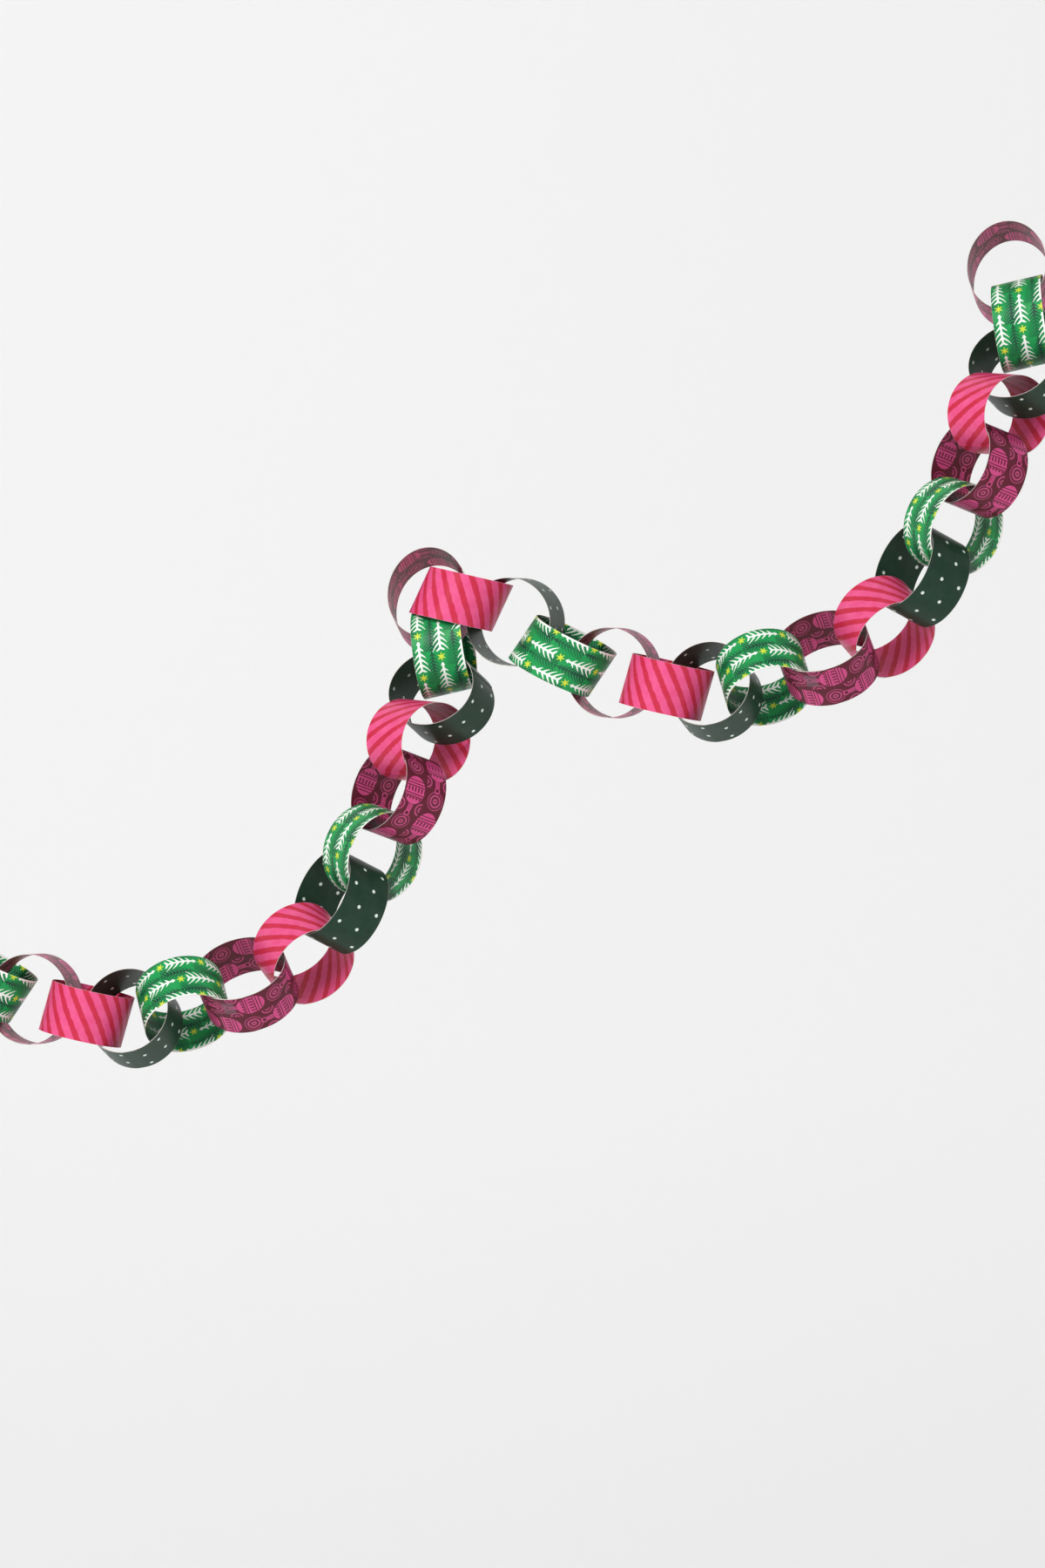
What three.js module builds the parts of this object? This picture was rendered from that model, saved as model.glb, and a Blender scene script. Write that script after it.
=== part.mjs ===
// A paper chain garland hung in two swags. Each link is one strip of printed paper, bent into a loop, lapped and
// glued, with the next link threaded through it. The links repeat four prints in turn, and both swags hang alike.
//
// Millimetres, +Z up. The garland hangs in the XZ plane with its face towards -Y, and its origin is where the
// highest link rests on its hook: the inside of that link's top.
import * as THREE from 'three';

// The strips, all cut alike.
const STRIP_WIDTH = 33.5;
const STRIP_LENGTH = 200;
const LAP_LENGTH = 20;
const PAPER_THICKNESS = 0.3;
const LOOP_LENGTH = STRIP_LENGTH - LAP_LENGTH;

// Straight facets in a loop that is round in the real one.
const FACETS = 40;

// From one hook to the next.
const SWAG_STEP = new THREE.Vector3(-379.5, 12, -213.5);
const SWAGS = 2;

const PRINTS = {
  bauble: new THREE.MeshStandardMaterial({ name: 'bauble_print', color: 0x6b1430, roughness: 0.42 }),
  fir: new THREE.MeshStandardMaterial({ name: 'fir_print', color: 0x0b8a45, roughness: 0.42 }),
  dot: new THREE.MeshStandardMaterial({ name: 'dot_print', color: 0x123c2b, roughness: 0.42 }),
  stripe: new THREE.MeshStandardMaterial({ name: 'stripe_print', color: 0xe0406a, roughness: 0.42 }),
};

// The sixteen links of one swag, from its hook down and along to the next one.
//   at       the middle of the loop, from the hook, as [right, back, up] in millimetres
//   turn     which way the loop's open side faces: 0 is straight out of the wall, and 90 is to the right
//   lean     how far that side faces up, in degrees
//   roll     the loop turned about its own axis, in degrees, clockwise from the open side
//   stretch  how tall the loop is, against its width
//   skew     how far the rims are out of square, in degrees, with the loop's top pushed back
//   lap      where the glued ends meet, in degrees clockwise from the loop's top
const SWAG = [
  { print: 'bauble', at: [-2, -10.5, -29.5], turn: -10, lean: 20, roll: 0, stretch: 1.2, skew: 0, lap: 60 },
  { print: 'fir', at: [6.5, -16, -62], turn: 82, lean: 13, roll: 0, stretch: 1, skew: -5, lap: 40 },
  { print: 'dot', at: [5, -23.5, -93], turn: -27, lean: 23, roll: 0, stretch: 0.87, skew: 0, lap: 20 },
  { print: 'stripe', at: [-10, -33, -121.5], turn: 44, lean: -4, roll: 0, stretch: 0.85, skew: 0, lap: 180 },
  { print: 'bauble', at: [-23, -39.5, -157], turn: -53, lean: 17, roll: 0, stretch: 1, skew: 0, lap: 180 },
  { print: 'fir', at: [-40, -39.5, -195], turn: 31, lean: -10, roll: 20, stretch: 1.1, skew: 0, lap: 330 },
  { print: 'dot', at: [-60.5, -43, -226.5], turn: -54, lean: 23, roll: 0, stretch: 1.1, skew: 0, lap: 180 },
  { print: 'stripe', at: [-85, -39, -260.5], turn: 29, lean: -31, roll: 0, stretch: 1, skew: 0, lap: 180 },
  { print: 'bauble', at: [-122.5, -43.5, -281], turn: -20, lean: 41, roll: -15, stretch: 0.85, skew: 0, lap: 180 },
  { print: 'fir', at: [-163.5, -42.5, -293.5], turn: 18, lean: -48.5, roll: 0, stretch: 1, skew: 0, lap: 180 },
  { print: 'dot', at: [-196.5, -38.5, -303], turn: -16.5, lean: 19, roll: 0, stretch: 1, skew: 0, lap: 180 },
  { print: 'stripe', at: [-227, -34.5, -300], turn: 79, lean: 74, roll: 0, stretch: 0.9, skew: 3, lap: 340 },
  { print: 'bauble', at: [-261.5, -26.5, -290.5], turn: -14, lean: 0, roll: 0, stretch: 1.05, skew: 0, lap: 180 },
  { print: 'fir', at: [-295, -19.5, -279.5], turn: 73, lean: 55, roll: 0, stretch: 1, skew: 8, lap: 340 },
  { print: 'dot', at: [-326, -9.5, -257], turn: -17, lean: 0, roll: 0, stretch: 1, skew: 0, lap: 180 },
  { print: 'stripe', at: [-361.5, -3.5, -242], turn: 87, lean: 65, roll: 0, stretch: 0.9, skew: 12, lap: 340 },
];

// The paper's middle line, a loop of one strip's length as [x, z, outward x, outward z] at each facet's corner.
function loopLine({ stretch, lap }) {
  const shape = (angle) => [Math.sin(angle), stretch * Math.cos(angle)];
  const start = THREE.MathUtils.degToRad(lap);
  const corners = Array.from({ length: FACETS }, (_, i) => shape(start + (2 * Math.PI * i) / FACETS));
  const girth = corners.reduce((sum, [x, z], i) => {
    const [nextX, nextZ] = corners[(i + 1) % FACETS];
    return sum + Math.hypot(nextX - x, nextZ - z);
  }, 0);
  const scale = LOOP_LENGTH / girth;
  return corners.map(([x, z], i) => {
    const before = corners[(i + FACETS - 1) % FACETS];
    const after = corners[(i + 1) % FACETS];
    const along = new THREE.Vector2(after[0] - before[0], after[1] - before[1]).normalize();
    return { x: x * scale, z: z * scale, outX: -along.y, outZ: along.x };
  });
}

// The band's section across the loop: paper one sheet thick, and two thick along the lap.
function loopSection(link) {
  const line = loopLine(link);
  const facetLength = LOOP_LENGTH / FACETS;
  const lapFacets = Math.round(LAP_LENGTH / facetLength);
  const half = PAPER_THICKNESS / 2;
  const outer = [];
  const inner = [];
  line.forEach((p, i) => {
    const lapped = i <= lapFacets;
    const reach = half + (lapped ? PAPER_THICKNESS : 0);
    outer.push(new THREE.Vector2(p.x + p.outX * reach, p.z + p.outZ * reach));
    inner.push(new THREE.Vector2(p.x - p.outX * half, p.z - p.outZ * half));
  });
  const section = new THREE.Shape(outer);
  section.holes.push(new THREE.Path(inner.reverse()));
  return section;
}

// One link, with its loop in its own XZ plane and its open side towards -Y.
function paperLink(name, link, hook) {
  const geometry = new THREE.ExtrudeGeometry(loopSection(link), { depth: STRIP_WIDTH, bevelEnabled: false });
  geometry.translate(0, 0, -STRIP_WIDTH / 2);
  geometry.rotateX(Math.PI / 2);
  const pushBack = Math.tan(THREE.MathUtils.degToRad(link.skew));
  geometry.applyMatrix4(new THREE.Matrix4().makeShear(0, 0, 0, 0, 0, pushBack));
  const mesh = new THREE.Mesh(geometry, PRINTS[link.print]);
  mesh.name = name;
  mesh.position.set(...link.at).add(hook);
  const [turn, lean, roll] = [link.turn, link.lean, link.roll].map(THREE.MathUtils.degToRad);
  mesh.rotation.set(-lean, roll, turn, 'ZXY');
  return mesh;
}

const garland = new THREE.Group();
const links = SWAGS * SWAG.length + 1;
for (let i = 0; i < links; i++) {
  const link = SWAG[i % SWAG.length];
  const hook = SWAG_STEP.clone().multiplyScalar(Math.floor(i / SWAG.length));
  const number = String(i + 1).padStart(2, '0');
  garland.add(paperLink(`link_${number}_${link.print}`, link, hook));
}

export default garland;
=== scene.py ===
"""A paper chain garland in two swags: thirty-three loops of printed paper, each threaded through the next."""

import logging
import math
from dataclasses import dataclass, field
from enum import Enum
from typing import Callable, Sequence

import bpy
import numpy as np
from mathutils import Matrix, Vector

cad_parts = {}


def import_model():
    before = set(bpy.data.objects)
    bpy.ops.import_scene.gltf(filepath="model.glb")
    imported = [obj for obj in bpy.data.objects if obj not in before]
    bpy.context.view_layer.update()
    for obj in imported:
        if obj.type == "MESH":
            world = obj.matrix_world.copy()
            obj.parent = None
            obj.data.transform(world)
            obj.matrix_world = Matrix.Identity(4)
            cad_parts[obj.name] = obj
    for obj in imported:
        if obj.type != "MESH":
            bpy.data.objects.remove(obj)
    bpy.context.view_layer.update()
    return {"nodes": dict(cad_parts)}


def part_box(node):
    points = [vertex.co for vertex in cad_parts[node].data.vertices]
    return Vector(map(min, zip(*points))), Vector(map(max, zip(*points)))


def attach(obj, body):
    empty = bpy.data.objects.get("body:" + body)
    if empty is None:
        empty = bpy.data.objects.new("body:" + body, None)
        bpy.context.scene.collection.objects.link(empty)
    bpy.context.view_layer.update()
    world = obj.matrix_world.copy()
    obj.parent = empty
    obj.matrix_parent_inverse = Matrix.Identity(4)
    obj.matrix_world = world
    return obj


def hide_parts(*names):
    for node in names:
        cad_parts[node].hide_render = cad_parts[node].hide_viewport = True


logging.basicConfig(level=logging.INFO, format="%(message)s")
log = logging.getLogger("garland")

MM = 0.001
BODY = "root"
STRIP_ATTRIBUTE = "strip_mm"

# The colour mix node's sockets, which have one name for several kinds of value.
MIX_SHARE, MIX_FIRST, MIX_SECOND, MIX_RESULT = 0, 6, 7, 2

# Printed edges are this soft, in millimetres, unless an effect says otherwise.
SOFT = 0.12

Socket = bpy.types.NodeSocket
Value = float | Socket
Colour = tuple[float, float, float]


class Print(Enum):
    """The four printed papers, by the name that their links carry."""

    BAUBLE = "bauble"
    FIR = "fir"
    DOT = "dot"
    STRIPE = "stripe"


def ink(code: str) -> Colour:
    """A printing ink as linear red, green and blue.

    Args:
        code: the ink as six hexadecimal digits, as on a colour card.

    Returns:
        The three linear values.
    """
    shares = [int(code[i:i + 2], 16) / 255 for i in (0, 2, 4)]
    return tuple(c / 12.92 if c <= 0.04045 else ((c + 0.055) / 1.055) ** 2.4 for c in shares)


# --------------------------------------------------------------------------------------------------
# Wiring of shader nodes


class Wiring:
    """Adds nodes to a tree and joins them, so that a print reads as a formula."""

    def __init__(self, tree: bpy.types.NodeTree) -> None:
        """Starts on a tree.

        Args:
            tree: the node tree of a material or a group.
        """
        self.tree = tree

    def node(self, kind: str, **settings: object) -> bpy.types.Node:
        """A new node.

        Args:
            kind: the node's type.
            settings: properties to set on it.

        Returns:
            The node.
        """
        made = self.tree.nodes.new(kind)
        for name, value in settings.items():
            setattr(made, name, value)
        return made

    def feed(self, socket: Socket, value: object) -> None:
        """Joins a socket to another, or sets its own value.

        Args:
            socket: the input.
            value: an output socket, a number, or a colour.
        """
        if isinstance(value, bpy.types.NodeSocket):
            self.tree.links.new(value, socket)
        elif isinstance(value, tuple):
            socket.default_value = (*value, 1.0)[:len(socket.default_value)]
        else:
            socket.default_value = value

    def math(self, operation: str, *values: Value) -> Socket:
        """One step of arithmetic.

        Args:
            operation: the math node's operation.
            values: its inputs in order.

        Returns:
            The result's socket.
        """
        made = self.node("ShaderNodeMath", operation=operation)
        for socket, value in zip(made.inputs, values):
            self.feed(socket, value)
        return made.outputs[0]

    def add(self, a: Value, b: Value) -> Socket:
        """a + b."""
        return self.math("ADD", a, b)

    def sub(self, a: Value, b: Value) -> Socket:
        """a - b."""
        return self.math("SUBTRACT", a, b)

    def mul(self, a: Value, b: Value) -> Socket:
        """a times b."""
        return self.math("MULTIPLY", a, b)

    def div(self, a: Value, b: Value) -> Socket:
        """a over b."""
        return self.math("DIVIDE", a, b)

    def size(self, a: Value) -> Socket:
        """a without its sign."""
        return self.math("ABSOLUTE", a)

    def both(self, *masks: Value) -> Socket:
        """Where all of the masks are.

        Args:
            masks: the masks.

        Returns:
            The joint mask's socket.
        """
        found = masks[0]
        for mask in masks[1:]:
            found = self.math("MULTIPLY", found, mask)
        return found

    def any(self, *masks: Value) -> Socket:
        """Where at least one of the masks is.

        Args:
            masks: the masks.

        Returns:
            The joint mask's socket.
        """
        found = masks[0]
        for mask in masks[1:]:
            found = self.math("MAXIMUM", found, mask)
        return found

    def below(self, value: Value, limit: Value, soft: float = SOFT) -> Socket:
        """A mask of where a length is under a limit, with a printed edge that is a little soft.

        Args:
            value: the length, in millimetres.
            limit: the limit, in millimetres.
            soft: how wide the edge is, in millimetres.

        Returns:
            The mask's socket.
        """
        made = self.node("ShaderNodeMapRange", interpolation_type="SMOOTHSTEP")
        self.feed(made.inputs["Value"], self.sub(limit, value))
        made.inputs["From Min"].default_value = -soft
        made.inputs["From Max"].default_value = soft
        return made.outputs["Result"]

    def between(self, value: Value, low: float, high: float, soft: float = SOFT) -> Socket:
        """A mask of where a length is from low to high.

        Args:
            value: the length, in millimetres.
            low: the lower limit.
            high: the upper limit.
            soft: how wide each edge is.

        Returns:
            The mask's socket.
        """
        return self.below(self.size(self.sub(value, (low + high) / 2)), (high - low) / 2, soft)

    def repeat(self, value: Value, period: float) -> Socket:
        """How far into its repeat a length is, from 0 to the period."""
        return self.mul(self.math("FRACT", self.div(value, period)), period)

    def reach(self, x: Value, y: Value) -> Socket:
        """The distance of (x, y) from the middle."""
        return self.math("SQRT", self.add(self.mul(x, x), self.mul(y, y)))

    def mix(self, mask: Value, low: object, high: object) -> Socket:
        """Two colours mixed by a mask.

        Args:
            mask: the share of the second colour.
            low: the first colour.
            high: the second colour.

        Returns:
            The colour's socket.
        """
        made = self.node("ShaderNodeMix", data_type="RGBA")
        self.feed(made.inputs[MIX_SHARE], mask)
        self.feed(made.inputs[MIX_FIRST], low)
        self.feed(made.inputs[MIX_SECOND], high)
        return made.outputs[MIX_RESULT]

    def noise(self, place: Socket, scale: float, detail: float = 2.0) -> Socket:
        """Soft noise over the strip, from 0 to 1.

        Args:
            place: the strip's place vector, in millimetres.
            scale: how many blotches to the millimetre.
            detail: how many finer layers it has.

        Returns:
            The noise's socket.
        """
        made = self.node("ShaderNodeTexNoise")
        self.feed(made.inputs["Vector"], place)
        made.inputs["Scale"].default_value = scale
        made.inputs["Detail"].default_value = detail
        return made.outputs[0]

    def split(self, vector: Socket) -> tuple[Socket, Socket, Socket]:
        """A vector's three numbers.

        Args:
            vector: the vector's socket.

        Returns:
            The sockets of its x, y and z.
        """
        made = self.node("ShaderNodeSeparateXYZ")
        self.feed(made.inputs[0], vector)
        return made.outputs[0], made.outputs[1], made.outputs[2]

    def use(self, group: bpy.types.NodeTree, **values: object) -> bpy.types.Node:
        """Places a node group.

        Args:
            group: the group.
            values: its inputs by name, with _ for a space.

        Returns:
            The group's node.
        """
        made = self.node("ShaderNodeGroup", node_tree=group)
        for name, value in values.items():
            self.feed(made.inputs[name.replace("_", " ")], value)
        return made


def new_group(
    name: str, inputs: dict[str, str], outputs: dict[str, str]
) -> tuple[bpy.types.NodeTree, dict[str, Socket], Wiring, Callable[[str, Socket], None]]:
    """A node group with named sockets.

    Args:
        name: the group's name.
        inputs: each input's name and its socket type's last word.
        outputs: each output's name and its socket type's last word.

    Returns:
        The group, its inputs' sockets by name, its wiring, and a function that feeds an output by name.
    """
    group = bpy.data.node_groups.new(name, "ShaderNodeTree")
    for label, kind in inputs.items():
        group.interface.new_socket(label, in_out="INPUT", socket_type="NodeSocket" + kind)
    for label, kind in outputs.items():
        group.interface.new_socket(label, in_out="OUTPUT", socket_type="NodeSocket" + kind)
    wiring = Wiring(group)
    entry = wiring.node("NodeGroupInput")
    exit_node = wiring.node("NodeGroupOutput")

    def deliver(label: str, value: Socket) -> None:
        """Feeds the output called label."""
        wiring.feed(exit_node.inputs[label], value)

    return group, {label: entry.outputs[label] for label in inputs}, wiring, deliver


# --------------------------------------------------------------------------------------------------
# Effects that more than one paper uses


@dataclass(frozen=True)
class Effects:
    """The node groups shared by the four papers, each built once."""

    stock: bpy.types.NodeTree
    column: bpy.types.NodeTree
    frond: bpy.types.NodeTree
    rings: bpy.types.NodeTree


def build_stock(half_width: float) -> bpy.types.NodeTree:
    """The paper under every print: its bare cut edges, faint fibres and handling marks.

    Args:
        half_width: half the strip's width, in millimetres.

    Returns:
        The group.
    """
    edge, core, handled = 0.07, ink("D8D0C8"), ink("F4EEF0")
    fibres_per_mm, clouds_per_mm = 2.6, 0.09
    fibre_shade, cloud_tint = 0.12, 0.03
    satin, cloud_dulls, cut_dulls = 0.34, 0.12, 0.35
    fibre_height = 0.7
    group, given, w, deliver = new_group(
        "paper_stock",
        {"Place": "Vector", "Ink": "Color"},
        {"Colour": "Color", "Roughness": "Float", "Height": "Float"},
    )
    _, across, _ = w.split(given["Place"])
    cut = w.below(half_width - edge, w.size(across), 0.03)
    fibre = w.noise(given["Place"], fibres_per_mm, 4.0)
    cloud = w.noise(given["Place"], clouds_per_mm, 3.0)
    shade = w.add(1.0 - fibre_shade / 2, w.mul(fibre_shade, fibre))
    tint = w.mix(w.mul(cloud, cloud_tint), given["Ink"], handled)
    dull = w.node("ShaderNodeVectorMath", operation="SCALE")
    w.feed(dull.inputs[0], tint)
    w.feed(dull.inputs["Scale"], shade)
    deliver("Colour", w.mix(cut, dull.outputs[0], core))
    deliver("Roughness", w.add(w.add(satin, w.mul(cloud_dulls, cloud)), w.mul(cut_dulls, cut)))
    deliver("Height", w.add(w.mul(fibre_height, fibre), w.mul(1.0 - fibre_height, cloud)))
    return group


def build_column() -> bpy.types.NodeTree:
    """Places within a print that repeats in columns along the strip, each column shifted from the last.

    Returns:
        The group.
    """
    group, given, w, deliver = new_group(
        "print_column",
        {"Place": "Vector", "Pitch": "Float", "Period": "Float", "Shift": "Float", "Start": "Float"},
        {"Across": "Float", "Along": "Float"},
    )
    along, across, _ = w.split(given["Place"])
    place = w.div(w.add(across, given["Start"]), given["Pitch"])
    number = w.math("FLOOR", w.add(place, 0.5))
    deliver("Across", w.mul(w.sub(place, number), given["Pitch"]))
    turn = w.add(w.div(along, given["Period"]), w.mul(number, given["Shift"]))
    deliver("Along", w.mul(w.math("FRACT", turn), given["Period"]))
    return group


def build_frond() -> bpy.types.NodeTree:
    """A fir spray: a stem with branches that curve back from its tip and shorten towards it.

    Returns:
        The group.
    """
    group, given, w, deliver = new_group(
        "fir_spray",
        dict.fromkeys(("Across", "Along", "Length", "Reach", "Spacing", "Stroke"), "Float"),
        {"Mask": "Float"},
    )
    slope, bend = 0.45, 0.1
    tip_shape, branch_shape = 0.55, 0.5
    stem_width, stem_from, stem_to = 0.75, 0.12, 0.98
    least = 0.05
    side = w.size(given["Across"])
    share = w.div(given["Along"], given["Length"])
    curve = w.add(w.mul(slope, side), w.mul(bend, w.mul(side, side)))
    root = w.add(given["Along"], curve)
    taper = w.math("MAXIMUM", w.sub(1.0, w.div(root, given["Length"])), 0.0)
    limit = w.mul(given["Reach"], w.math("POWER", taper, tip_shape))
    phase = w.sub(w.math("FRACT", w.div(root, given["Spacing"])), 0.5)
    off = w.mul(w.size(phase), given["Spacing"])
    left = w.math("MAXIMUM", w.sub(1.0, w.div(side, w.math("MAXIMUM", limit, least))), 0.0)
    branch = w.below(off, w.mul(given["Stroke"], w.math("POWER", left, branch_shape)), 0.1)
    started = w.below(0.3, root, 0.2)
    inside = w.both(branch, w.below(side, limit, 0.15), started)
    stem = w.both(
        w.below(side, w.mul(given["Stroke"], stem_width), 0.1), w.between(share, stem_from, stem_to, 0.01)
    )
    deliver("Mask", w.any(inside, stem))
    return group


def build_rings() -> bpy.types.NodeTree:
    """Thin rings drawn round a point, out to a limit.

    Returns:
        The group.
    """
    group, given, w, deliver = new_group(
        "thin_rings",
        {"Across": "Float", "Along": "Float", "Pitch": "Float", "Limit": "Float", "Line": "Float"},
        {"Mask": "Float", "Inside": "Float"},
    )
    out = w.reach(given["Across"], given["Along"])
    phase = w.sub(w.math("FRACT", w.div(out, given["Pitch"])), 0.5)
    line = w.below(w.mul(w.size(phase), given["Pitch"]), given["Line"], 0.1)
    inside = w.below(out, given["Limit"], 0.1)
    deliver("Mask", w.both(line, inside))
    deliver("Inside", inside)
    return group


# --------------------------------------------------------------------------------------------------
# The four papers


@dataclass(frozen=True)
class Paper:
    """A printed paper. Each kind draws its own inks over the strip."""

    effects: Effects
    slot: str
    bump_strength: float = 0.22
    bump_depth: float = 0.05
    gloss: float = 0.17
    coat: float = 0.03
    coat_roughness: float = 0.3

    def inks(self, w: Wiring, place: Socket) -> Socket:
        """The print's colour at each place on the strip.

        Args:
            w: the material's wiring.
            place: along and across the strip, in millimetres.

        Returns:
            The colour's socket.
        """
        raise NotImplementedError

    def material(self) -> bpy.types.Material:
        """The finished material: print, paper and sheen.

        Returns:
            The material.
        """
        made = bpy.data.materials.new(f"{self.slot}_paper")
        made.use_nodes = True
        made.node_tree.nodes.clear()
        w = Wiring(made.node_tree)
        place = w.node("ShaderNodeAttribute", attribute_name=STRIP_ATTRIBUTE).outputs["Vector"]
        stock = w.use(self.effects.stock, Place=place, Ink=self.inks(w, place))
        bump = w.node("ShaderNodeBump")
        bump.inputs["Strength"].default_value = self.bump_strength
        bump.inputs["Distance"].default_value = self.bump_depth * MM
        w.feed(bump.inputs["Height"], stock.outputs["Height"])
        shader = w.node("ShaderNodeBsdfPrincipled")
        w.feed(shader.inputs["Base Color"], stock.outputs["Colour"])
        w.feed(shader.inputs["Roughness"], stock.outputs["Roughness"])
        w.feed(shader.inputs["Normal"], bump.outputs["Normal"])
        shader.inputs["Specular IOR Level"].default_value = self.gloss
        shader.inputs["Coat Weight"].default_value = self.coat
        shader.inputs["Coat Roughness"].default_value = self.coat_roughness
        out = w.node("ShaderNodeOutputMaterial")
        w.feed(out.inputs["Surface"], shader.outputs["BSDF"])
        return made


@dataclass(frozen=True)
class StripePaper(Paper):
    """Slanting red stripes on pink, washed on unevenly."""

    period: float = 8.4
    half_stripe: float = 1.8
    slant: float = 53.0
    waver: float = 1.4
    soft: float = 0.35
    pinks: tuple[str, str] = ("E13A76", "EC5B90")
    reds: tuple[str, str] = ("BE1538", "D3284A")

    def inks(self, w: Wiring, place: Socket) -> Socket:
        """Red stripes over the pink wash.

        Args:
            w: the material's wiring.
            place: along and across the strip, in millimetres.

        Returns:
            The colour's socket.
        """
        along, across, _ = w.split(place)
        wash = w.noise(place, 0.16, 3.0)
        streak = w.noise(place, 0.3, 3.0)
        slope = math.radians(self.slant)
        level = w.add(w.mul(along, math.sin(slope)), w.mul(across, math.cos(slope)))
        level = w.add(level, w.mul(w.sub(streak, 0.5), self.waver))
        off = w.size(w.sub(w.repeat(level, self.period), self.period / 2))
        stripe = w.below(off, self.half_stripe, self.soft)
        pink = w.mix(w.math("SMOOTH_MIN", w.mul(wash, 1.3), 1.0, 0.2), *map(ink, self.pinks))
        red = w.mix(wash, *map(ink, self.reds))
        return w.mix(stripe, pink, red)


@dataclass(frozen=True)
class DotPaper(Paper):
    """Small pale dots in staggered rows on dark green."""

    pitch: float = 15.0
    row: float = 14.0
    radius: float = 1.2
    start: float = 3.0
    greens: tuple[str, str] = ("082B1D", "103D28")
    pale: str = "E4F2E8"

    def inks(self, w: Wiring, place: Socket) -> Socket:
        """Pale dots over the green.

        Args:
            w: the material's wiring.
            place: along and across the strip, in millimetres.

        Returns:
            The colour's socket.
        """
        along, across, _ = w.split(place)
        dots = []
        for row in (0, 1):
            x = w.sub(w.repeat(w.add(across, self.start + row * self.pitch / 2), self.pitch), self.pitch / 2)
            y = w.sub(w.repeat(w.add(along, row * self.row), 2 * self.row), self.row)
            dots.append(w.below(w.reach(x, y), self.radius, 0.18))
        ground = w.mix(w.noise(place, 0.12, 3.0), *map(ink, self.greens))
        return w.mix(w.any(*dots), ground, ink(self.pale))


@dataclass(frozen=True)
class FirPaper(Paper):
    """White fir sprays with a yellow star at each tip, over a wood of darker sprays on green."""

    pitch: float = 14.2
    period: float = 28.5
    length: float = 21.0
    shift: float = 0.42
    reach: float = 6.6
    spacing: float = 3.6
    stroke: float = 0.9
    star_at: float = 24.6
    star_points: int = 6
    star_heart: float = 1.0
    star_arm: float = 2.0
    dark_pitch: float = 15.0
    dark_period: float = 23.0
    greens: tuple[str, str] = ("00893F", "0BA657")
    dark: str = "064230"
    white: str = "F4FAF2"
    yellow: str = "D3E23C"

    def star(self, w: Wiring, across: Socket, along: Socket) -> Socket:
        """A small star round the place beyond a spray's tip.

        Args:
            w: the material's wiring.
            across: the distance across from the column's middle.
            along: the distance along from the spray's start.

        Returns:
            The star's mask.
        """
        y = w.sub(along, self.star_at)
        angle = w.math("ARCTAN2", across, y)
        phase = w.math("FRACT", w.add(w.mul(angle, self.star_points / (2 * math.pi)), 0.5))
        point = w.mul(w.size(w.sub(phase, 0.5)), 2.0)
        limit = w.add(self.star_heart, w.mul(self.star_arm, w.math("POWER", w.sub(1.0, point), 1.6)))
        return w.below(w.reach(across, y), limit)

    def inks(self, w: Wiring, place: Socket) -> Socket:
        """Sprays and stars over the darker wood.

        Args:
            w: the material's wiring.
            place: along and across the strip, in millimetres.

        Returns:
            The colour's socket.
        """
        column, frond = self.effects.column, self.effects.frond
        cell = w.use(column, Place=place, Pitch=self.pitch, Period=self.period, Shift=self.shift, Start=2.0)
        across, along = cell.outputs["Across"], cell.outputs["Along"]
        spray = w.use(
            frond, Across=across, Along=along, Length=self.length, Reach=self.reach,
            Spacing=self.spacing, Stroke=self.stroke,
        ).outputs["Mask"]
        deep = w.use(
            column, Place=place, Pitch=self.dark_pitch, Period=self.dark_period, Shift=0.5, Start=-4.0
        )
        shade = w.use(
            frond, Across=deep.outputs["Across"], Along=deep.outputs["Along"], Length=self.dark_period,
            Reach=8.0, Spacing=2.2, Stroke=0.8,
        ).outputs["Mask"]
        ground = w.mix(w.noise(place, 0.14, 3.0), *map(ink, self.greens))
        patchy = w.math("MINIMUM", w.mul(w.noise(place, 0.07, 2.0), 1.7), 1.0)
        wood = w.mix(w.mul(shade, patchy), ground, ink(self.dark))
        with_sprays = w.mix(spray, wood, ink(self.white))
        return w.mix(self.star(w, across, along), with_sprays, ink(self.yellow))


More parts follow.
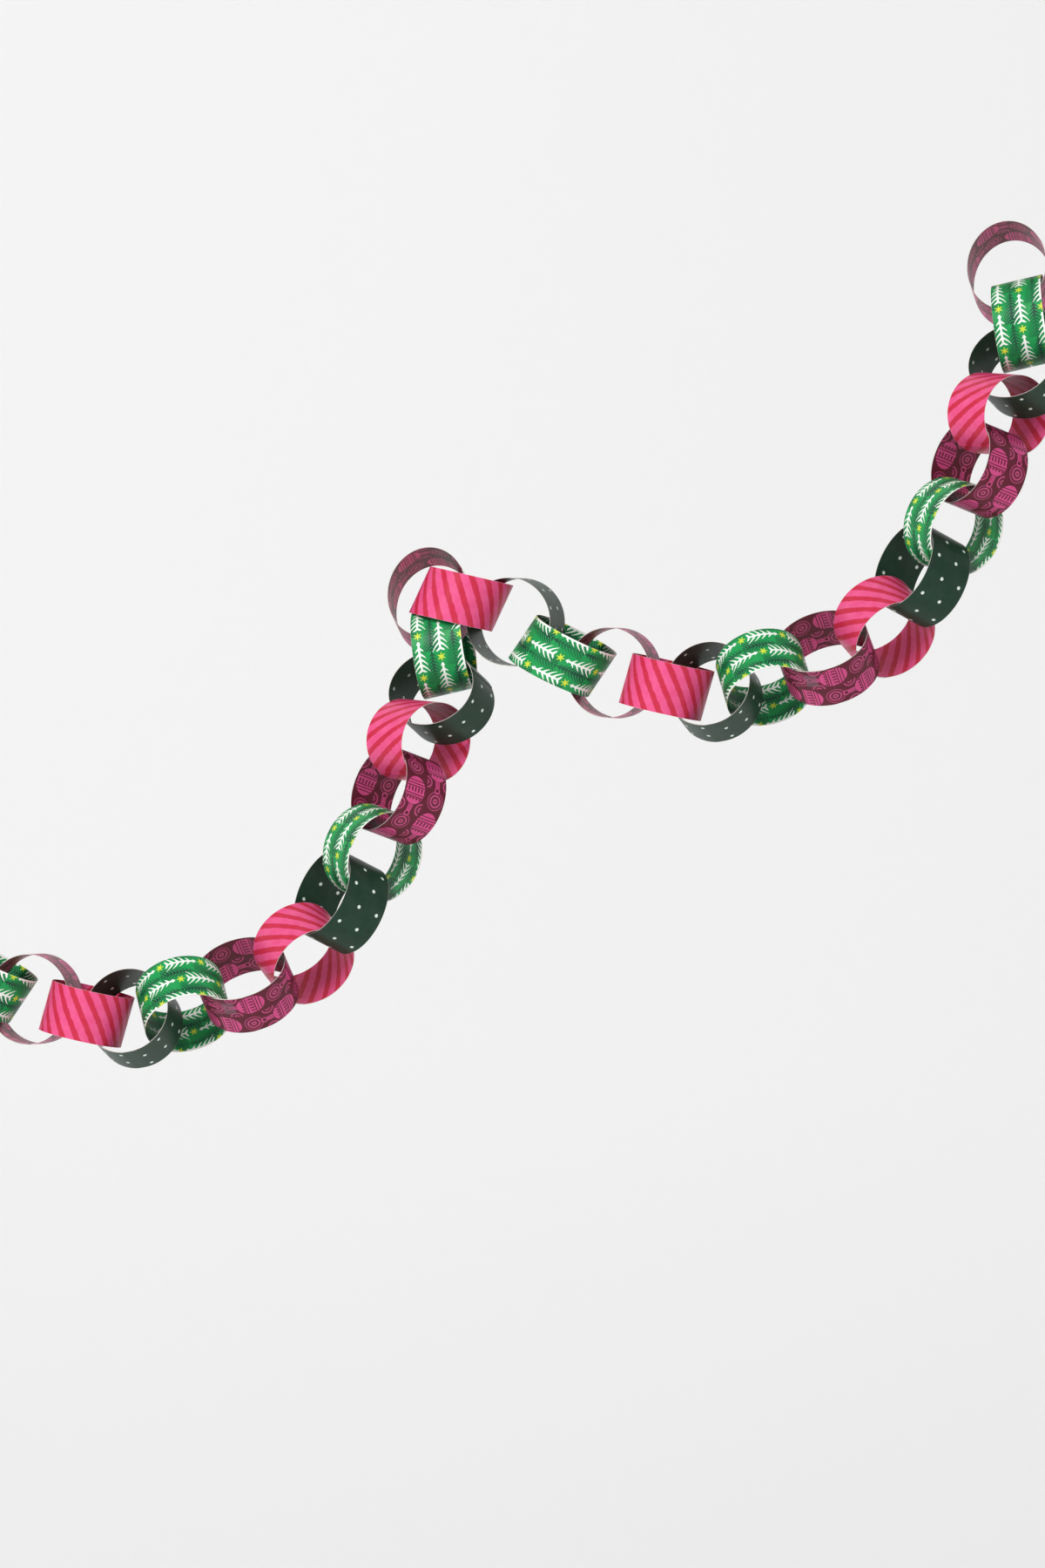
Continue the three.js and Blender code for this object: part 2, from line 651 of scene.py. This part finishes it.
@dataclass(frozen=True)
class BaublePaper(Paper):
    """Pink baubles and ringed swirls on burgundy, with a bare patch where the glue went."""

    pitch: float = 17.4
    period: float = 41.0
    bauble_at: float = 11.0
    half_long: float = 9.4
    half_wide: float = 7.9
    bars: tuple[float, ...] = (-6.4, -4.4, -2.6, 2.6, 4.2)
    half_bar: float = 0.34
    dash_pitch: float = 2.6
    swirl_at: float = 34.2
    side_swirl_at: float = 22.5
    ring_pitch: float = 2.5
    burgundies: tuple[str, str] = ("54081F", "690E2D")
    swirl_ground: str = "6A1538"
    swirl_line: str = "C44A78"
    pinks: tuple[str, str] = ("D03A7C", "DC5692")
    bare_paper: str = "7C5A68"
    bare_share: float = 0.6
    patch: tuple[float, float, float, float] = (186.0, 194.0, -13.0, -2.0)

    def bauble(self, w: Wiring, across: Socket, along: Socket) -> tuple[Socket, Socket]:
        """One bauble with its cap and hanging ring.

        Args:
            w: the material's wiring.
            across: the distance across from the column's middle.
            along: the distance along the cell.

        Returns:
            The masks of its body, and of the lines that are drawn in pink outside it.
        """
        y = w.sub(along, self.bauble_at)
        ball = w.reach(w.div(across, self.half_wide), w.div(y, self.half_long))
        body = w.below(w.mul(ball, self.half_wide), self.half_wide, 0.15)
        lines = [w.between(y, level - self.half_bar, level + self.half_bar, 0.1) for level in self.bars]
        half_dash = self.dash_pitch / 2
        lane = w.sub(w.repeat(w.add(across, half_dash), self.dash_pitch), half_dash)
        dash = w.below(w.reach(w.mul(lane, 2.2), w.mul(w.add(y, 0.5), 0.75)), 1.35)
        tooth = w.both(w.below(w.mul(w.size(lane), 1.5), w.sub(6.6, y)), w.between(y, 4.8, 6.8, 0.1))
        drawn = w.any(*lines, dash, tooth)
        body = w.both(body, w.sub(1.0, drawn))
        cap_y = w.sub(along, self.bauble_at + self.half_long + 2.4)
        cap = w.both(w.below(w.size(across), 1.9, 0.1), w.below(w.size(cap_y), 2.2, 0.1))
        slits = w.between(w.repeat(across, half_dash), 0.4, 0.9, 0.1)
        cap = w.both(cap, w.sub(1.0, w.mul(slits, 0.8)))
        ring_y = w.sub(along, self.bauble_at + self.half_long + 6.6)
        ring = w.below(w.size(w.sub(w.reach(across, ring_y), 1.8)), 0.38, 0.1)
        return body, w.any(cap, ring)

    def inks(self, w: Wiring, place: Socket) -> Socket:
        """Baubles and swirls over the burgundy, and the bare patch.

        Args:
            w: the material's wiring.
            place: along and across the strip, in millimetres.

        Returns:
            The colour's socket.
        """
        along_strip, across_strip, side = w.split(place)
        column, rings = self.effects.column, self.effects.rings
        cell = w.use(column, Place=place, Pitch=self.pitch, Period=self.period, Shift=0.5, Start=8.0)
        across, along = cell.outputs["Across"], cell.outputs["Along"]
        body, drawn = self.bauble(w, across, along)
        up, beside = w.sub(along, self.swirl_at), w.sub(along, self.side_swirl_at)
        swirl = w.use(rings, Across=across, Along=up, Pitch=self.ring_pitch, Limit=6.2, Line=0.5)
        edge = w.sub(w.size(across), self.pitch / 2)
        far = w.use(rings, Across=edge, Along=beside, Pitch=self.ring_pitch, Limit=5.0, Line=0.45)
        ground = w.mix(w.noise(place, 0.13, 3.0), *map(ink, self.burgundies))
        washed = w.mix(w.any(swirl.outputs["Inside"], far.outputs["Inside"]), ground, ink(self.swirl_ground))
        ringed = w.mix(w.any(swirl.outputs["Mask"], far.outputs["Mask"]), washed, ink(self.swirl_line))
        printed = w.mix(w.any(body, drawn), ringed, w.mix(w.noise(place, 0.3, 2.0), *map(ink, self.pinks)))
        low, high, near, off = self.patch
        bare = w.both(
            w.between(along_strip, low, high), w.between(across_strip, near, off), w.below(0.0, side, 0.1)
        )
        return w.mix(w.mul(bare, self.bare_share), printed, ink(self.bare_paper))


# --------------------------------------------------------------------------------------------------
# The links


@dataclass(frozen=True)
class Hang:
    """How one link hangs, in degrees, apart from stretch.

    turn is which way its open side faces: 0 is straight out of the wall, and 90 is to the right.
    lean is how far that side faces up. roll turns the loop about its own axis. stretch is its height
    against its width. skew sets the rims out of square. lap is where the glued ends meet, clockwise
    from the loop's top.
    """

    turn: float
    lean: float
    roll: float = 0.0
    stretch: float = 1.0
    skew: float = 0.0
    lap: float = 180.0


# The sixteen links of one swag, tilted as their solids are.
SWAG = (
    Hang(turn=-10, lean=20, stretch=1.2, lap=60),
    Hang(turn=82, lean=13, skew=-5, lap=40),
    Hang(turn=-27, lean=23, stretch=0.87, lap=20),
    Hang(turn=44, lean=-4, stretch=0.85),
    Hang(turn=-53, lean=17),
    Hang(turn=31, lean=-10, roll=20, stretch=1.1, lap=330),
    Hang(turn=-54, lean=23, stretch=1.1),
    Hang(turn=29, lean=-31),
    Hang(turn=-20, lean=41, roll=-15, stretch=0.85),
    Hang(turn=18, lean=-48.5),
    Hang(turn=-16.5, lean=19),
    Hang(turn=79, lean=74, stretch=0.9, skew=3, lap=340),
    Hang(turn=-14, lean=0, stretch=1.05),
    Hang(turn=73, lean=55, skew=8, lap=340),
    Hang(turn=-17, lean=0),
    Hang(turn=87, lean=65, stretch=0.9, skew=12, lap=340),
)


@dataclass
class PaperLink:
    """One strip of paper bent into a loop, with its last stretch glued over its first.

    Sizes are in millimetres.
    """

    node: str
    print_name: Print
    hang: Hang
    material: bpy.types.Material
    width: float = 33.5
    length: float = 200.0
    lap: float = 20.0
    thickness: float = 0.26
    lift: float = 0.3
    ramp: float = 4.5
    steps_along: int = 176
    steps_across: int = 8
    steps_measured: int = 1440
    crease_angle: float = 40.0

    def line(self) -> tuple[np.ndarray, np.ndarray]:
        """The strip's middle line round the loop.

        Returns:
            Its points as x, z at each step along, and the outward directions there.
        """
        angles = math.radians(self.hang.lap) + np.linspace(0, 2 * math.pi, self.steps_measured + 1)
        points = np.stack([np.sin(angles), self.hang.stretch * np.cos(angles)], axis=1)
        run = np.concatenate([[0], np.cumsum(np.linalg.norm(np.diff(points, axis=0), axis=1))])
        girth = self.length - self.lap
        along = np.linspace(0, self.length, self.steps_along + 1)
        at = np.interp(along % girth, run * girth / run[-1], angles)
        scale = girth / run[-1]
        middle = np.stack([np.sin(at), self.hang.stretch * np.cos(at)], axis=1) * scale
        outward = np.stack([self.hang.stretch * np.sin(at), np.cos(at)], axis=1)
        outward /= np.linalg.norm(outward, axis=1, keepdims=True)
        share = np.clip((along - (girth - self.ramp)) / self.ramp, 0, 1)
        rise = self.lift * share * share * (3 - 2 * share)
        return middle + outward * rise[:, None], outward

    def vertices(self) -> tuple[np.ndarray, np.ndarray]:
        """The band's points.

        Returns:
            Their places about the loop's middle, and their places on the strip as along, across and side.
        """
        middle, outward = self.line()
        along = np.linspace(0, self.length, self.steps_along + 1)
        across = np.linspace(-self.width / 2, self.width / 2, self.steps_across + 1)
        places, strip = [], []
        for side in (1, -1):
            face = middle + outward * side * self.thickness / 2
            for i, (x, z) in enumerate(face):
                for y in across:
                    places.append((x, y, z))
                    strip.append((along[i], y, side))
        places = np.array(places)
        places[:, 1] += places[:, 2] * math.tan(math.radians(self.hang.skew))
        return places, np.array(strip)

    def faces(self) -> list[tuple[int, ...]]:
        """The band's faces, all facing out.

        Returns:
            Each face's corners, as places in the list of points.
        """
        rows, columns = self.steps_along + 1, self.steps_across + 1
        inner = rows * columns
        faces = []
        for i in range(rows - 1):
            for j in range(columns - 1):
                a, b = i * columns + j, (i + 1) * columns + j
                faces.append((a, a + 1, b + 1, b))
                faces.append((inner + a, inner + b, inner + b + 1, inner + a + 1))
            low, high = i * columns, i * columns + columns - 1
            faces.append((low, low + columns, inner + low + columns, inner + low))
            faces.append((high, inner + high, inner + high + columns, high + columns))
        last = (rows - 1) * columns
        for j in range(columns - 1):
            faces.append((j, inner + j, inner + j + 1, j + 1))
            faces.append((last + j, last + j + 1, inner + last + j + 1, inner + last + j))
        return faces

    def turned(self, places: np.ndarray) -> np.ndarray:
        """The band's points turned as it hangs, and moved to where its solid is.

        Args:
            places: the points about the loop's middle, in millimetres.

        Returns:
            The points in the garland's frame, in metres.
        """
        spin = (
            Matrix.Rotation(math.radians(self.hang.turn), 3, "Z")
            @ Matrix.Rotation(math.radians(-self.hang.lean), 3, "X")
            @ Matrix.Rotation(math.radians(self.hang.roll), 3, "Y")
        )
        placed = places @ np.array(spin).T * MM
        low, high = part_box(self.node)
        middle = (np.array(low) + np.array(high)) / 2
        return placed + middle - (placed.min(0) + placed.max(0)) / 2

    def build(self) -> bpy.types.Object:
        """Makes the link, and sets it in its solid's place.

        Returns:
            The link's object.
        """
        places, strip = self.vertices()
        mesh = bpy.data.meshes.new(f"paper_{self.node}")
        mesh.from_pydata(self.turned(places).tolist(), [], self.faces())
        attribute = mesh.attributes.new(STRIP_ATTRIBUTE, "FLOAT_VECTOR", "POINT")
        attribute.data.foreach_set("vector", strip.astype(np.float32).ravel())
        mesh.polygons.foreach_set("use_smooth", [True] * len(mesh.polygons))
        mesh.update()
        self.crease(mesh)
        mesh.materials.append(self.material)
        made = bpy.data.objects.new(f"paper_{self.node}", mesh)
        bpy.context.scene.collection.objects.link(made)
        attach(made, BODY)
        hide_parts(self.node)
        return made

    def crease(self, mesh: bpy.types.Mesh) -> None:
        """Marks the paper's cut edges as sharp.

        Args:
            mesh: the band's mesh.
        """
        mesh.set_sharp_from_angle(angle=math.radians(self.crease_angle))


@dataclass
class Garland:
    """All the links, in order from the highest hook."""

    papers: dict[Print, bpy.types.Material]
    nodes: Sequence[str]
    links: list[bpy.types.Object] = field(default_factory=list)

    def build(self) -> None:
        """Makes each link from its node's name."""
        for number, node in enumerate(self.nodes):
            kind = Print(node.rsplit("_", 1)[1])
            link = PaperLink(node, kind, SWAG[number % len(SWAG)], self.papers[kind])
            self.links.append(link.build())
            log.info("%s: %d faces, %s paper", node, len(self.links[-1].data.polygons), kind.value)


# --------------------------------------------------------------------------------------------------
# The studio


@dataclass(frozen=True)
class Lamp:
    """A square soft light: where it stands from the aim and its side, in metres, and its power in watts."""

    name: str
    offset: tuple[float, float, float]
    size: float
    power: float


@dataclass
class Studio:
    """The camera, the pale sweep behind and below, and the soft light."""

    aim: Vector
    field_height: float = 1.0244
    distance: float = 8.0
    floor_drop: float = 0.72
    backdrop_behind: float = 1.6
    sweep_radius: float = 0.5
    sweep_steps: int = 16
    half_span: float = 9.0
    floor_ahead: float = 12.0
    wall_height: float = 9.0
    paint: str = "E6E6E6"
    glow: float = 0.165
    surround: float = 0.42
    lamps: tuple[Lamp, ...] = (
        Lamp("key_light", (-1.6, -2.6, 1.9), 1.4, 80.0),
        Lamp("fill_light", (2.2, -3.0, 0.4), 2.2, 14.0),
    )

    def camera(self) -> None:
        """Sets up a long-lensed camera that looks straight at the garland's face."""
        lens = bpy.data.cameras.new("camera")
        lens.sensor_width = 36.0
        lens.lens = lens.sensor_width * self.distance / self.field_height
        lens.clip_end = 100.0
        made = bpy.data.objects.new("camera", lens)
        made.location = self.aim + Vector((0, -self.distance, 0))
        made.rotation_euler = (math.radians(90), 0, 0)
        bpy.context.scene.collection.objects.link(made)
        bpy.context.scene.camera = made

    def sweep(self) -> None:
        """Makes the floor and the wall behind as one pale curved sheet."""
        floor = self.aim.z - self.floor_drop
        wall = self.backdrop_behind
        radius = self.sweep_radius
        profile = [(-self.floor_ahead, floor), (wall - radius, floor)]
        for step in range(1, self.sweep_steps + 1):
            angle = math.pi / 2 * step / self.sweep_steps
            rise = radius * (1 - math.cos(angle))
            profile.append((wall - radius + radius * math.sin(angle), floor + rise))
        profile.append((wall, floor + self.wall_height))
        points = [(self.aim.x + side * self.half_span, y, z) for y, z in profile for side in (-1, 1)]
        faces = [(2 * i, 2 * i + 1, 2 * i + 3, 2 * i + 2) for i in range(len(profile) - 1)]
        mesh = bpy.data.meshes.new("studio_sweep")
        mesh.from_pydata(points, [], faces)
        mesh.polygons.foreach_set("use_smooth", [True] * len(mesh.polygons))
        mesh.materials.append(self.sweep_material())
        made = bpy.data.objects.new("studio_sweep", mesh)
        bpy.context.scene.collection.objects.link(made)

    def sweep_material(self) -> bpy.types.Material:
        """A pale matt paint on one side only, so the garland can be seen from behind as well.

        Returns:
            The material.
        """
        made = bpy.data.materials.new("studio_paint")
        made.use_nodes = True
        nodes = made.node_tree.nodes
        shader = nodes["Principled BSDF"]
        side = nodes.new("ShaderNodeNewGeometry")
        front = nodes.new("ShaderNodeMath")
        front.operation = "SUBTRACT"
        front.inputs[0].default_value = 1.0
        made.node_tree.links.new(side.outputs["Backfacing"], front.inputs[1])
        made.node_tree.links.new(front.outputs["Value"], shader.inputs["Alpha"])
        shader.inputs["Base Color"].default_value = (*ink(self.paint), 1.0)
        shader.inputs["Emission Color"].default_value = (1.0, 1.0, 1.0, 1.0)
        shader.inputs["Emission Strength"].default_value = self.glow
        shader.inputs["Roughness"].default_value = 0.9
        shader.inputs["Specular IOR Level"].default_value = 0.0
        return made

    def light(self, lamp: Lamp) -> None:
        """Sets up a lamp that faces the garland.

        Args:
            lamp: the lamp.
        """
        light = bpy.data.lights.new(lamp.name, "AREA")
        light.size = lamp.size
        light.energy = lamp.power
        offset = Vector(lamp.offset)
        made = bpy.data.objects.new(lamp.name, light)
        made.location = self.aim + offset
        made.rotation_euler = (-offset).to_track_quat("-Z", "Y").to_euler()
        bpy.context.scene.collection.objects.link(made)

    def world(self) -> None:
        """An even white surround."""
        made = bpy.data.worlds.new("studio_air")
        made.use_nodes = True
        background = made.node_tree.nodes["Background"]
        background.inputs["Color"].default_value = (1.0, 1.0, 1.0, 1.0)
        background.inputs["Strength"].default_value = self.surround
        bpy.context.scene.world = made

    def build(self) -> None:
        """Makes the sweep and the lights."""
        self.sweep()
        for lamp in self.lamps:
            self.light(lamp)
        self.world()
        bpy.context.scene.view_settings.view_transform = "Standard"


def build_papers(width: float) -> dict[Print, bpy.types.Material]:
    """Makes the shared effects and the four papers.

    Args:
        width: the strips' width, in millimetres.

    Returns:
        Each print's material.
    """
    effects = Effects(build_stock(width / 2), build_column(), build_frond(), build_rings())
    kinds = {
        Print.BAUBLE: BaublePaper(effects, "bauble_print"),
        Print.FIR: FirPaper(effects, "fir_print"),
        Print.DOT: DotPaper(effects, "dot_print"),
        Print.STRIPE: StripePaper(effects, "stripe_print"),
    }
    return {name: paper.material() for name, paper in kinds.items()}


def main() -> None:
    """Builds the studio and the garland."""
    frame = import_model()
    studio = Studio(aim=Vector((-0.3214, -0.035, -0.3633)))
    studio.camera()
    studio.build()
    log.info("studio: camera, sweep and lights")
    papers = build_papers(PaperLink.width)
    garland = Garland(papers, sorted(frame["nodes"]))
    garland.build()
    log.info("garland: %d links", len(garland.links))


if __name__ == "__main__":
    main()
